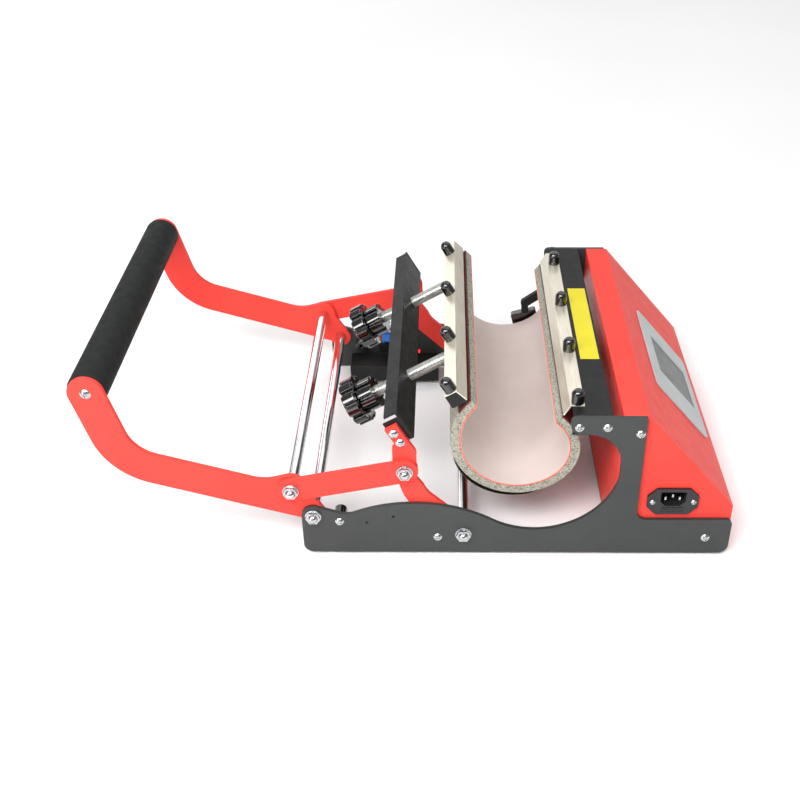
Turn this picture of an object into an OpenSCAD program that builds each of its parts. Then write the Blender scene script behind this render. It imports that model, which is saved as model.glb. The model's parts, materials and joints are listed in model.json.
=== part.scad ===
// Mug heat press: a clamshell toggle press with a curved heating mat.
// Millimetres, +Z up. X runs from the grip to the control box, Y across the machine.
// A lever and two links push the clamp arms over, and two hand screws set the jaw.

/* [Side frame] */
// Width over the outer faces of the two side plates
frame_w = 350; // [345:1:355]
// Thickness of the side plates and of the links
plate_t = 4; // [3:0.5:5]
// Height of the straight right part of the side plates
rail_h = 42.4; // [40:0.2:44]
// Radius of the round cut-out under the heating mat
cutout_r = 81; // [78:0.5:82]
// Height of the bridge and of the top of the control box
bridge_h = 165; // [165:1:168]

/* [Lever] */
// Thickness of the lever arms and clamp arms
arm_t = 5; // [4:0.5:6]
// Width of the flat lever arms
lever_w = 34; // [30:1:36]
// Outer radius of the foam grip
grip_r = 18.5; // [16:0.5:19]
// Radius of the cross shafts
shaft_r = 6; // [5:0.5:6]

/* [Clamp] */
// Tilt of the pressure screws above the horizontal
tilt = 30; // [28:0.5:32]
// Half the distance between the two pressure screws
screw_y = 74.5; // [68:0.5:80]
// Radius of the pressure screws
screw_r = 6; // [5:0.5:6]
// Radius of the star knobs over the lobes
star_r = 25; // [22:0.5:26]
// Radius of the lock wheels over the flutes
wheel_r = 17; // [15:0.5:17]

/* [Heating mat] */
// Length of the heating mat along the machine's width
mat_len = 309; // [290:1:309]
// Thickness of the heating mat
mat_t = 10.3; // [8:0.1:10.3]
// Length of the two jaws
jaw_len = 313; // [306:1:314]

/* [Hidden] */
$fn = 48;
hw = frame_w / 2;
run_fit = 0.05;
layer_gap = 0.5;
foot_h = 3;

// Joints of the linkage, as [x, z] in the side view
lever_pin = [-125.6, 46.4];
link_pin = [-145.4, 77.9];
clamp_top_pin = [-34.8, 101.1];
clamp_pin = [22.2, 24.2];
grip_pin = [-326.5, 187];
grip_tube_r = 12.5;
grip_bolt_r = 3;

// Side layers, counted inward from the outer face of the plates
arm_d = plate_t + layer_gap;
arm_in_d = arm_d + arm_t;
stud_r = 4;
bolt_r = 2;
stud_out = 4.5;

// Side plate
plate_x0 = -137;
plate_x1 = 287;
x_mid = (grip_pin[0] - grip_r + plate_x1) / 2;
corner_r = 10;
hill_r = 150;
hill_c = [-26, -88];
cutout_c = [92, 110.5];
crook_r = 35;
crook_c = [136, 111.5];
bracket_x0 = 121;
column_x0 = 130;
bracket_x1 = 192;
tab_r = 11.4;
tab_w = 24;
foot_x = [-89, 217];
foot_r = 10;
foot_in = 12;

// Bumper that stops the lever when the press is shut
bumper_p = [-100, 38.9];
bumper_r = 6.5;
bumper_l = 16;

// Lever arm: two straight legs joined by a bend
lever_corner = [-305.6, 109];
lever_bend_r = 55;
leg_up_deg = -75;
leg_low_deg = -16.8;
bend_deg = leg_low_deg - leg_up_deg;
crest_l = 135;
crest_r = 40;
strap_r = 11.7;
boss_r = 15;
boss_deg = 110;
heel_r = 13;
heel_gap = 9;

// Link and clamp arm
link_r = 13;
clamp_r = 11;
clamp_boss_r = 12.5;
clamp_corner = [-24.3, 68.2];
clamp_bend_r = 39;

// Frame of the pressure screws: u along the screw, w across it
rod_o = [-15.85, 156];
web_u = -18.5;
sheet_t = 2;
beam_w0 = -13;
beam_w1 = 19.5;
beam_flange = 14.5;
beam_screw_u = -31.7;
beam_screw_w = [2.6, -9.4];
star_u = -81;
star_t = 14;
star_hub_l = 5;
star_hub_r = 12;
screw_gap = 4;
wheel_u = -65.4;
wheel_t = 16;
screw_tip_u = 33.5;
nut_t = 10;

// Left jaw
jaw_u = 26.3;
jaw_w0 = -7.8;
jaw_w1 = 6.8;
jaw_top = 12;
jaw_bottom = 16.5;
strip_t = 1.4;
strip_leg = 13.4;
cap_y = [-151, -58, 36.5, 131];
cap_r = 6.2;
cap_h = 15;

// Heating mat: a tight arc on the right and a wide arc below and on the left
arc_a = [84, 115];
arc_a_r = 39.5;
arc_b = [74, 126.9];
arc_b_r = 55;
mat_right_deg = 52;
mat_meet_deg = -50;
mat_fixed_deg = -112;
mat_flex_deg = -165;
mat_left_deg = -224;
mat_gap_deg = 0.4;
mat_lap_deg = 0.5;

// Bridge and right jaw
bridge_x1 = 160;
lip_x = 122.1;
lip_deg = 240;
lip_l = 12;
strip_x1 = 134.9;
flange_h = 22;
label_x = [139, 158];
label_y = [-73, 73];
label_t = 0.4;

// Control box
box_x0 = 170;
box_x1 = 286;
slope_x = 193.8;
slope_z = 57.5;
box_t = 1.5;
slope_run = [box_x1 - slope_x, bridge_h - slope_z];
slope_deg = atan2(slope_run[1], slope_run[0]);
bezel_s = [36.5, 130.5];
bezel_y = [-76, 77];
bezel_t = 1.6;
bezel_r = 8;
lcd_s = [54, 121];
lcd_y = [-31, 41];
inlet_c = [225.9, 64.4];
inlet_w = 50;
inlet_h = 31;
inlet_pitch = 40;
inlet_bolt_r = 1.7;
inlet_body = [29, 27];
drawer_size = [22, 6.8];

// Mug stop
stop_pin = [152, 147];
stop_y = 157.5;
stop_knee = [118, 111];
stop_neck = [100, 98];
stop_foot = [100, 89];
stop_pin_r = 3;
stop_t = 6.8;
stop_neck_r = 4;
stop_arm_r = 5;

// Start switch
housing_x = [-112, -4];
housing_y = [132, 164];
housing_z = [3, 24];
switch_c = [-68, 52];
led_at = [-28.5, 23];
led_r = 1.6;

// ---------- placing helpers ----------

// Puts the machine in the middle of its own box, with the feet on the floor
module placed() {
  translate([-x_mid, 0, foot_h]) children();
}

// Extrudes a side-view profile from y0 to y1
module slab(y0, y1) {
  translate([0, y1, 0]) rotate([90, 0, 0]) linear_extrude(height = y1 - y0) children();
}

// Extrudes a side-view profile between two depths behind an outer plate face
module layer(side, d0, d1) {
  y = side < 0 ? -hw + d0 : hw - d1;
  slab(y, y + d1 - d0) children();
}

module dot(p, r) {
  translate(p) circle(r = r);
}

// Straight bar profile of half width r between two points
module bar(p, q, r) {
  v = q - p;
  translate(p) rotate(atan2(v[1], v[0])) translate([0, -r]) square([norm(v), 2 * r]);
}

// Bar profile with round ends
module strap(p, q, r) {
  bar(p, q, r);
  dot(p, r);
  dot(q, r);
}

function unit(a) = [cos(a), sin(a)];

// Direction from p to q in degrees
function heading(p, q) = atan2(q[1] - p[1], q[0] - p[0]);

// Points along an arc in n steps
function arc_pts(c, r, a0, a1, n) = [for (i = [0:n]) c + r * unit(a0 + (a1 - a0) * i / n)];

// Pie slice from a0 to a1 degrees, for cutting arcs
module pie(r, a0, a1) {
  steps = 8;
  polygon(concat([[0, 0]], arc_pts([0, 0], 1.5 * r, a0, a1, steps)));
}

module arc_band(c, r0, r1, a0, a1) {
  translate(c) intersection() {
    difference() {
      circle(r = r1);
      circle(r = r0);
    }
    pie(r1, a0, a1);
  }
}

// Turns local +Z outward from the near or far side, at side-view point p and depth d
module outward(side, p, d) {
  translate([p[0], side * (hw - d), p[1]]) rotate([side < 0 ? 90 : -90, 0, 0]) children();
}

// Moves into the frame of the pressure screws
module on_rod(y = 0) {
  translate([rod_o[0], y, rod_o[1]]) rotate([0, -tilt, 0]) children();
}

// Cylinder along the pressure screw from u0 to u1
module along_rod(u0, u1, r) {
  translate([u0, 0, 0]) rotate([0, 90, 0]) cylinder(h = u1 - u0, r = r);
}

// ---------- small hardware ----------

// Pan head screw: head above z = 0, shank below
module pan_screw(shank_l, head_r = 4.6, shank_r = bolt_r) {
  head_h = 2.4;
  ball_r = (head_r * head_r + head_h * head_h) / (2 * head_h);
  difference() {
    intersection() {
      translate([0, 0, head_h - ball_r]) sphere(r = ball_r);
      cylinder(h = head_h, r = head_r);
    }
    for (a = [0, 90]) rotate([0, 0, a]) translate([-2.3, -0.45, 1.1]) cube([4.6, 0.9, 2]);
  }
  translate([0, 0, -shank_l]) cylinder(h = shank_l, r = shank_r);
}

// Washer and domed cap nut with a blind bore for the stud
module cap_nut(bore_l) {
  difference() {
    union() {
      cylinder(h = 1.5, r = 8);
      translate([0, 0, 1.5]) cylinder(h = 3.5, r = 7.3, $fn = 6);
      intersection() {
        translate([0, 0, 4]) sphere(r = 5.2);
        cylinder(h = 10, r = 6);
      }
    }
    translate([0, 0, -1]) cylinder(h = bore_l + 1, r = stud_r);
  }
}

// Cross shaft with a stud through each side
module cross_shaft(p, shoulder_d, tip) {
  layer(-1, shoulder_d, frame_w - shoulder_d) dot(p, shaft_r);
  layer(-1, -tip, frame_w + tip) dot(p, stud_r);
}

// ---------- side plates ----------

module plate_outline() {
  difference() {
    union() {
      translate([plate_x0 + corner_r, 0]) square([plate_x1 - plate_x0 - 2 * corner_r, rail_h]);
      translate([plate_x0, corner_r]) square([plate_x1 - plate_x0, rail_h - corner_r - 6]);
      translate([plate_x0, 0]) translate([corner_r, corner_r]) circle(r = corner_r);
      translate([plate_x1 - corner_r, corner_r]) circle(r = corner_r);
      translate([plate_x1 - 6, rail_h - 6]) circle(r = 6);
      translate([plate_x1 - corner_r - 1, rail_h - 7]) square([corner_r - 5, 7]);
      // rounded hill over the clamp pivot
      intersection() {
        dot(hill_c, hill_r);
        translate([-88, 20]) square([143, 45]);
      }
      // tab round the lever pivot, falling to the valley
      dot(lever_pin, tab_r);
      translate([plate_x0, 20]) square([corner_r, lever_pin[1] - 20]);
      polygon([[-137, 30], [-88, 30], [-88, 48.7], [-97, 48.7], [-120, 56.3], [-125, 46]]);
      // bracket column and its overhang
      translate([column_x0, rail_h - 1]) square([bracket_x1 - column_x0, bridge_h - rail_h - 1]);
      translate([bracket_x0 + 5, 150]) square([bracket_x1 - bracket_x0 - 7, bridge_h - 150]);
      translate([bracket_x0, 156]) square([20, bridge_h - 156 - 5]);
      translate([bracket_x0 + 9.5, 146.5]) square([20, 15]);
      translate([bracket_x0 + 5, bridge_h - 5]) circle(r = 5);
      translate([bracket_x0 + 9.5, 156]) circle(r = 9.5);
      translate([bracket_x1 - 2, bridge_h - 2]) circle(r = 2);
      // inner corner between the column and the rail
      difference() {
        translate([bracket_x1 - 1, rail_h - 1]) square([corner_r + 1, corner_r + 1]);
        translate([bracket_x1 + corner_r, rail_h + corner_r]) circle(r = corner_r);
      }
    }
    intersection() {
      dot(cutout_c, cutout_r);
      translate([0, 0]) square([crook_c[0] + crook_r, crook_c[1]]);
    }
    dot(crook_c, crook_r);
    translate([50, 100]) square([crook_c[0] - 50, 46.5]);
  }
}

plate_screw_at = [[-100, 38.9], [-3.2, 19.2], [262.9, 19.1], [186.8, 146.2]];
bridge_screw_at = [[129, 153.3], [155.3, 153.3]];
small_hole_at = [[-72.9, 38], [-46.8, 45.6]];

module side_plate(side) {
  color([0.32, 0.33, 0.33]) {
    layer(side, 0, plate_t) difference() {
      plate_outline();
      dot(lever_pin, stud_r);
      dot(clamp_pin, stud_r);
      for (p = plate_screw_at) dot(p, bolt_r);
      for (p = bridge_screw_at) dot(p, bolt_r);
      for (p = small_hole_at) dot(p, 1.6);
    }
    // bent-in tab that carries the front foot
    translate([foot_x[0] - tab_w / 2, side < 0 ? -hw + plate_t : hw - plate_t - tab_w, 0])
      cube([tab_w, tab_w, 2]);
  }
}

module side_plate_near() {
  placed() side_plate(-1);
}

module side_plate_far() {
  placed() side_plate(1);
}

module plate_screws() {
  placed() color([0.82, 0.83, 0.84]) for (side = [-1, 1]) {
    for (p = plate_screw_at) outward(side, p, 0) pan_screw(8);
  }
}

module bumpers() {
  placed() color([0.07, 0.07, 0.07]) for (side = [-1, 1]) {
    layer(side, plate_t, plate_t + bumper_l) difference() {
      dot(bumper_p, bumper_r);
      dot(bumper_p, bolt_r);
    }
  }
}

module feet() {
  placed() color([0.08, 0.08, 0.08]) for (x = foot_x, side = [-1, 1]) {
    translate([x, side * (hw - plate_t - foot_in), -foot_h]) cylinder(h = foot_h, r = foot_r);
  }
}

// ---------- shafts fixed in the frame ----------

module lever_shaft() {
  placed() color([0.86, 0.87, 0.88]) cross_shaft(lever_pin, plate_t, stud_out);
}

module lever_shaft_nuts() {
  placed() color([0.82, 0.83, 0.84]) for (side = [-1, 1]) outward(side, lever_pin, 0) cap_nut(stud_out);
}

module clamp_shaft() {
  placed() color([0.86, 0.87, 0.88]) cross_shaft(clamp_pin, plate_t, stud_out);
}

module clamp_shaft_nuts() {
  placed() color([0.82, 0.83, 0.84]) for (side = [-1, 1]) outward(side, clamp_pin, 0) cap_nut(stud_out);
}

// ---------- bridge and right jaw ----------

lip_v = [cos(lip_deg), sin(lip_deg)];
lip_n = [-lip_v[1], lip_v[0]];

// Where the inner face of a slanted leg of thickness t meets the underside of the top
function lip_corner(t) = [lip_x + t * tan(30), bridge_h - t];

module bridge_profile() {
  polygon([
    [lip_x, bridge_h], [bridge_x1, bridge_h], [bridge_x1, bridge_h - sheet_t],
    lip_corner(sheet_t),
    [lip_x, bridge_h] + lip_l * lip_v + sheet_t * lip_n,
    [lip_x, bridge_h] + lip_l * lip_v
  ]);
}

module bridge_plate() {
  placed() color([0.13, 0.13, 0.14]) {
    slab(-jaw_len / 2 + 2, jaw_len / 2 - 2) bridge_profile();
    translate([lip_x + 1, -hw + plate_t, bridge_h - sheet_t])
      cube([bridge_x1 - lip_x - 1, frame_w - 2 * plate_t, sheet_t]);
    for (side = [-1, 1]) layer(side, plate_t, plate_t + sheet_t) difference() {
      translate([lip_x + 1, bridge_h - flange_h]) square([bridge_x1 - lip_x - 1, flange_h - 1]);
      for (p = bridge_screw_at) dot(p, bolt_r);
      if (side > 0) dot(stop_pin, stop_pin_r);
    }
  }
}

module bridge_screws() {
  placed() color([0.82, 0.83, 0.84]) for (side = [-1, 1]) {
    for (p = bridge_screw_at) outward(side, p, 0) pan_screw(plate_t + sheet_t - 0.3);
  }
}

module right_strip_profile() {
  leg = [lip_x, bridge_h];
  polygon([
    leg, [strip_x1, bridge_h], [strip_x1, bridge_h + strip_t],
    leg + [-strip_t * tan(30), strip_t],
    leg + lip_l * lip_v - strip_t * lip_n,
    leg + lip_l * lip_v
  ]);
}

module right_jaw_strip() {
  placed() color([0.80, 0.79, 0.75]) slab(-jaw_len / 2, jaw_len / 2) right_strip_profile();
}

// Domed rubber cap standing on local z = 0
module rubber_cap() {
  cylinder(h = cap_h - cap_r + 1, r = cap_r);
  translate([0, 0, cap_h - cap_r]) intersection() {
    sphere(r = cap_r);
    cylinder(h = cap_r, r = cap_r);
  }
}

module right_jaw_caps() {
  placed() color([0.05, 0.05, 0.05]) for (y = cap_y) {
    translate([(lip_x + strip_x1) / 2, y, bridge_h + strip_t]) rubber_cap();
  }
}

module plain_label() {
  placed() color([0.98, 0.85, 0.05])
    translate([label_x[0], label_y[0], bridge_h])
    cube([label_x[1] - label_x[0], label_y[1] - label_y[0], label_t]);
}

// ---------- heating mat ----------

module mat_slab() {
  slab(-jaw_len / 2, -jaw_len / 2 + mat_len) children();
}

module heat_mat_right() {
  placed() color([0.72, 0.71, 0.66]) mat_slab() {
    arc_band(arc_a, arc_a_r, arc_a_r + mat_t, mat_meet_deg - mat_lap_deg, mat_right_deg);
    arc_band(arc_b, arc_b_r, arc_b_r + mat_t, mat_fixed_deg, mat_meet_deg + mat_lap_deg);
  }
}

module heat_mat_flex() {
  placed() color([0.72, 0.71, 0.66]) mat_slab()
    arc_band(arc_b, arc_b_r, arc_b_r + mat_t, mat_flex_deg + mat_gap_deg, mat_fixed_deg - mat_gap_deg);
}

module heat_mat_left() {
  placed() color([0.72, 0.71, 0.66]) mat_slab()
    arc_band(arc_b, arc_b_r, arc_b_r + mat_t, mat_left_deg, mat_flex_deg);
}

// ---------- control box ----------

// Outline of the box, inset by t
module box_outline(t, z0) {
  e = [sin(slope_deg), cos(slope_deg)];
  top_in = t * (1 - e[1]) / e[0];
  side_in = t * (1 - e[0]) / e[1];
  polygon([
    [box_x0 + t, z0], [box_x0 + t, bridge_h - t], [slope_x - top_in, bridge_h - t],
    [box_x1 - t, slope_z - side_in], [box_x1 - t, z0]
  ]);
}

// Moves onto the sloping top: local x down the slope, local z outward
module on_slope() {
  translate([slope_x, 0, bridge_h]) rotate([0, slope_deg, 0]) children();
}

module rounded_plate(x, y, t, r) {
  translate([x[0] + r, y[0], 0]) cube([x[1] - x[0] - 2 * r, y[1] - y[0], t]);
  translate([x[0], y[0] + r, 0]) cube([x[1] - x[0], y[1] - y[0] - 2 * r, t]);
  for (i = [x[0] + r, x[1] - r], j = [y[0] + r, y[1] - r]) translate([i, j, 0]) cylinder(h = t, r = r);
}

module inlet_hole() {
  translate(inlet_c - inlet_body / 2) square(inlet_body);
}

module control_box_shell() {
  placed() color([0.86, 0.20, 0.18]) difference() {
    layer(-1, plate_t, frame_w - plate_t) box_outline(0, box_t);
    layer(-1, plate_t + box_t, frame_w - plate_t - box_t) box_outline(box_t, 0);
    on_slope() translate([lcd_s[0] - 2, lcd_y[0] - 2, -5])
      cube([lcd_s[1] - lcd_s[0] + 4, lcd_y[1] - lcd_y[0] + 4, 10]);
    layer(-1, 0, 10) inlet_hole();
    for (side = [-1, 1]) layer(side, 0, 10) {
      dot(plate_screw_at[2], bolt_r);
      dot(plate_screw_at[3], bolt_r);
    }
    layer(-1, 0, 10) for (i = [-1, 1]) dot([inlet_c[0] + i * inlet_pitch / 2, inlet_c[1]], inlet_bolt_r);
  }
}

module control_box_base() {
  placed() color([0.15, 0.15, 0.16]) {
    translate([box_x0, -hw + plate_t, 0]) cube([box_x1 - box_x0, frame_w - 2 * plate_t, box_t]);
  }
}

module display_bezel() {
  placed() color([0.62, 0.63, 0.64]) on_slope() difference() {
    rounded_plate(bezel_s, bezel_y, bezel_t, bezel_r);
    translate([lcd_s[0], lcd_y[0], -1]) cube([lcd_s[1] - lcd_s[0], lcd_y[1] - lcd_y[0], bezel_t + 2]);
  }
}

module display_lcd() {
  placed() color([0.38, 0.40, 0.40]) on_slope() translate([lcd_s[0], lcd_y[0], -3])
    cube([lcd_s[1] - lcd_s[0], lcd_y[1] - lcd_y[0], 3.6]);
}

module controller_board() {
  placed() color([0.05, 0.30, 0.14]) on_slope() {
    translate([bezel_s[0] + 4, bezel_y[0] + 6, -8]) cube([84, 140, 1.6]);
    translate([lcd_s[0] + 4, lcd_y[0] + 4, -6.4]) cube([58, 62, 3.4]);
    translate([bezel_s[0] + 12, bezel_y[0] + 12, -16]) cube([20, 28, 8]);
    translate([bezel_s[0] + 44, bezel_y[0] + 12, -14]) cube([16, 16, 6]);
  }
}

module power_relay() {
  placed() color([0.85, 0.85, 0.82]) {
    translate([200, 40, box_t]) cube([45, 62, 4]);
    translate([203, 43, box_t + 4]) cube([39, 56, 20]);
  }
}

// ---------- power inlet ----------

module inlet_flange() {
  cut = 9;
  difference() {
    translate([inlet_c[0] - inlet_w / 2, inlet_c[1] - inlet_h / 2]) square([inlet_w, inlet_h]);
    for (i = [-1, 1], j = [-1, 1]) translate([inlet_c[0] + i * inlet_w / 2, inlet_c[1] + j * inlet_h / 2])
      rotate(45) square([cut * 1.4, cut * 1.4], center = true);
  }
}

socket_c = inlet_c + [0, 3.6];
drawer_c = inlet_c + [0, -9.2];

module socket_outline(w, h) {
  polygon([
    socket_c + [-w / 2, h / 2], socket_c + [w / 2, h / 2], socket_c + [w / 2, -h / 2 + 5],
    socket_c + [w / 2 - 5, -h / 2], socket_c + [-w / 2 + 5, -h / 2], socket_c + [-w / 2, -h / 2 + 5]
  ]);
}

module power_inlet() {
  placed() color([0.06, 0.06, 0.07]) difference() {
    union() {
      layer(-1, 1, plate_t) inlet_flange();
      layer(-1, 1, 24) inlet_hole();
    }
    layer(-1, 0, 18) socket_outline(24.4, 16.8);
    layer(-1, 0, 20) translate(drawer_c - drawer_size / 2) square(drawer_size);
    layer(-1, 0, 30) for (i = [-1, 1]) dot([inlet_c[0] + i * inlet_pitch / 2, inlet_c[1]], inlet_bolt_r);
  }
}

module inlet_pins() {
  placed() color([0.80, 0.80, 0.78]) layer(-1, 4, 18) {
    translate(socket_c + [-1, -0.4]) square([2, 4]);
    translate(socket_c + [-8, -3.6]) square([2, 4]);
    translate(socket_c + [6, -3.6]) square([2, 4]);
  }
}

module inlet_screws() {
  placed() color([0.30, 0.30, 0.32]) for (i = [-1, 1]) {
    outward(-1, [inlet_c[0] + i * inlet_pitch / 2, inlet_c[1]], 1) pan_screw(6, 3.1, inlet_bolt_r);
  }
}

module fuse_drawer() {
  clear = 0.2;
  placed() color([0.09, 0.09, 0.10]) {
    layer(-1, 1.2, 19) translate(drawer_c - drawer_size / 2 + [clear, clear])
      square(drawer_size - [2 * clear, 2 * clear]);
    for (i = [-4:4]) layer(-1, 0.4, 1.2) translate(drawer_c + [i * 2.2 - 0.6, -2.6]) square([1.2, 5.2]);
  }
}

// ---------- mug stop ----------

module mug_stop_pin() {
  placed() color([0.82, 0.83, 0.84]) {
    slab(stop_y - 1, hw - plate_t) dot(stop_pin, stop_pin_r);
    slab(stop_y + 7, hw - plate_t - sheet_t) difference() {
      dot(stop_pin, 2 * stop_pin_r);
      dot(stop_pin, stop_pin_r);
    }
    slab(stop_y - 3, stop_y - 0.2) dot(stop_pin, 5.5);
  }
}

module mug_stop_arm() {
  placed() color([0.10, 0.10, 0.11]) difference() {
    slab(stop_y, stop_y + stop_t) {
      strap(stop_pin, stop_knee, stop_arm_r);
      dot(stop_pin, 8);
      strap(stop_knee, stop_neck, stop_arm_r);
      strap(stop_neck, stop_foot, stop_neck_r);
    }
    slab(stop_y - 1, stop_y + 8) dot(stop_pin, stop_pin_r + run_fit);
  }
}

module mug_stop_pad() {
  placed() color([0.06, 0.06, 0.06]) slab(stop_y - 0.5, stop_y + stop_t + 0.5) difference() {
    translate(stop_foot - [0, 10]) rotate(15) {
      translate([-15.5 + 3, -8.5]) square([25, 17]);
      translate([-15.5, -8.5 + 3]) square([31, 11]);
      for (i = [-1, 1], j = [-1, 1]) translate([i * 12.5, j * 5.5]) circle(r = 3);
    }
    strap(stop_knee, stop_neck, stop_arm_r);
    strap(stop_neck, stop_foot, stop_neck_r);
  }
}

// ---------- start switch ----------

module switch_housing() {
  hx = housing_x;
  hy = housing_y;
  hz = housing_z;
  placed() color([0.09, 0.09, 0.10]) {
    difference() {
      translate([hx[0], hy[0], hz[0]]) cube([hx[1] - hx[0], hy[1] - hy[0], hz[1] - hz[0]]);
      translate([hx[0] + box_t, hy[0] + box_t, hz[0] - 1])
        cube([hx[1] - hx[0] - 2 * box_t, hy[1] - hy[0] - 2 * box_t, hz[1] - hz[0] + 1 - box_t]);
    }
    // foot that reaches the far plate below the clamp arm
    translate([-70, hy[1] - box_t, hz[0]]) cube([50, hw - plate_t - hy[1] + box_t, box_t]);
    // upright ear that carries the switch
    translate([switch_c[0] - 10, hy[1] - box_t, hz[1] - 1]) cube([22, box_t, 38]);
  }
}

module limit_switch() {
  placed() color([0.10, 0.30, 0.75]) {
    translate([switch_c[0] - 8, housing_y[1] - box_t - 10, switch_c[1] - 5]) cube([16, 10, 10]);
    translate([switch_c[0] - 5, housing_y[1] - box_t - 7, switch_c[1] - 9]) cube([2, 4, 4]);
    translate([switch_c[0] + 3, housing_y[1] - box_t - 7, switch_c[1] - 9]) cube([2, 4, 4]);
    translate([switch_c[0] + 7, housing_y[1] - box_t - 8, switch_c[1] + 5]) cube([1, 6, 1.2]);
  }
}

// Spring lever of the start switch, hinged at its right end
module switch_lever() {
  root = switch_c + [7.5, 7];
  tip = switch_c + [-13, 9.5];
  placed() color([0.84, 0.84, 0.82]) slab(housing_y[1] - box_t - 7.5, housing_y[1] - box_t - 2.5) {
    bar(root, tip, 0.4);
    dot(root, 0.7);
    dot(tip, 1.6);
  }
}

module switch_led() {
  placed() color([0.90, 0.08, 0.06]) {
    slab(hw - plate_t - 4, hw - plate_t) dot(led_at, led_r - 0.4);
    slab(hw - plate_t - 1, hw - plate_t) dot(led_at, led_r);
  }
}

// ---------- lever ----------

// Outline of one lever arm, anticlockwise from the grip
function lever_outline() =
  let (
    half = lever_w / 2,
    up = unit(leg_up_deg),
    low = unit(leg_low_deg),
    reach = lever_bend_r * tan(bend_deg / 2),
    bend_c = lever_corner - reach * up + lever_bend_r * unit(leg_up_deg + 90),
    crest = lever_corner + crest_l * low + half * unit(leg_low_deg + 90),
    crest_deg = heading(link_pin + boss_r * unit(boss_deg), crest),
    crest_reach = crest_r * tan((crest_deg - leg_low_deg + 180) / 2),
    crest_c = crest - crest_reach * unit(crest_deg) + crest_r * unit(crest_deg - 90),
    strap_deg = heading(lever_pin, link_pin),
    heel_deg = leg_low_deg - 90 - acos(heel_gap / heel_r)
  )
  concat(
    arc_pts(grip_pin, half, leg_up_deg + 90, leg_up_deg + 270, 24),
    arc_pts(bend_c, lever_bend_r + half, leg_up_deg - 90, leg_low_deg - 90, 18),
    arc_pts(lever_pin, heel_r, heel_deg, strap_deg - 90 - acos(strap_r / heel_r), 14),
    arc_pts(link_pin, boss_r, strap_deg - 90 - acos(strap_r / boss_r), boss_deg, 12),
    arc_pts(crest_c, crest_r, crest_deg + 90, leg_low_deg - 90, 8),
    arc_pts(bend_c, lever_bend_r - half, leg_low_deg - 90, leg_up_deg - 90, 14)
  );

module lever_arm(side) {
  color([0.93, 0.30, 0.27]) layer(side, arm_d, arm_in_d) difference() {
    polygon(lever_outline());
    dot(lever_pin, shaft_r + run_fit);
    dot(link_pin, stud_r);
    dot(grip_pin, grip_bolt_r);
  }
}

module lever_arm_near() {
  placed() lever_arm(-1);
}

module lever_arm_far() {
  placed() lever_arm(1);
}

module grip_tube() {
  placed() color([0.55, 0.55, 0.56]) layer(-1, arm_in_d, frame_w - arm_in_d) difference() {
    dot(grip_pin, grip_tube_r);
    dot(grip_pin, grip_bolt_r);
  }
}

module grip_sleeve() {
  placed() color([0.09, 0.09, 0.09]) layer(-1, arm_in_d + 0.5, frame_w - arm_in_d - 0.5) difference() {
    dot(grip_pin, grip_r);
    dot(grip_pin, grip_tube_r);
  }
}

module grip_screws() {
  placed() color([0.82, 0.83, 0.84]) for (side = [-1, 1]) {
    outward(side, grip_pin, arm_d) pan_screw(20, 5.4, grip_bolt_r);
  }
}

module link_shaft() {
  placed() color([0.86, 0.87, 0.88]) cross_shaft(link_pin, arm_in_d, stud_out);
}

module link_shaft_nuts() {
  placed() color([0.82, 0.83, 0.84]) for (side = [-1, 1]) outward(side, link_pin, -0.3) cap_nut(stud_out - 0.3);
}

// ---------- links ----------

function link_outline() =
  let (a = heading(link_pin, clamp_top_pin))
  concat(
    arc_pts(link_pin, link_r, a + 90, a + 270, 16),
    arc_pts(clamp_top_pin, link_r, a - 90, a + 90, 16)
  );

module link(side) {
  color([0.93, 0.30, 0.27]) layer(side, 0, plate_t) difference() {
    polygon(link_outline());
    dot(link_pin, stud_r + run_fit);
    dot(clamp_top_pin, stud_r);
  }
}

module link_near() {
  placed() link(-1);
}

module link_far() {
  placed() link(1);
}

module link_pivot_nuts() {
  placed() color([0.82, 0.83, 0.84]) for (side = [-1, 1]) {
    outward(side, clamp_top_pin, 0) cap_nut(stud_out);
    layer(side, -stud_out, plate_t) dot(clamp_top_pin, stud_r);
  }
}

// ---------- clamp ----------

// Side-view point of a place given in the frame of the pressure screws
function rod_point(u, w) = rod_o + [u * cos(tilt) - w * sin(tilt), u * sin(tilt) + w * cos(tilt)];

// Outline of one clamp arm, anticlockwise from its lower pivot
function clamp_outline() =
  let (
    low_deg = heading(clamp_pin, clamp_corner),
    high_deg = heading(clamp_corner, clamp_top_pin),
    reach = clamp_bend_r * tan((low_deg - high_deg) / 2),
    bend_c = clamp_corner - reach * unit(low_deg) + clamp_bend_r * unit(low_deg - 90)
  )
  concat(
    arc_pts(clamp_pin, clamp_r, low_deg + 90, low_deg + 270, 16),
    arc_pts(bend_c, clamp_bend_r - clamp_r, low_deg + 90, high_deg + 90, 6),
    arc_pts(clamp_top_pin, clamp_boss_r, -40, 25, 8),
    arc_pts(clamp_top_pin + [-2.6, 17], 14, 0, 32, 6),
    [
      rod_point(web_u - 5.6, -9),
      rod_point(web_u - 5.6, 10.4),
      rod_point(web_u - 18.2, 10.4),
      rod_point(web_u - 18.2, -9),
      clamp_top_pin + [-clamp_r - 0.6, 25]
    ],
    arc_pts(clamp_top_pin, clamp_boss_r, 160, 225, 8),
    arc_pts(bend_c, clamp_bend_r + clamp_r, high_deg + 90, low_deg + 90, 8)
  );

module clamp_arm(side) {
  color([0.93, 0.30, 0.27]) layer(side, arm_d, arm_in_d) difference() {
    polygon(clamp_outline());
    dot(clamp_pin, shaft_r + run_fit);
    dot(clamp_top_pin, stud_r);
    for (w = beam_screw_w) dot(rod_point(beam_screw_u, w), bolt_r);
  }
}

module clamp_arm_near() {
  placed() clamp_arm(-1);
}

module clamp_arm_far() {
  placed() clamp_arm(1);
}

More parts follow.
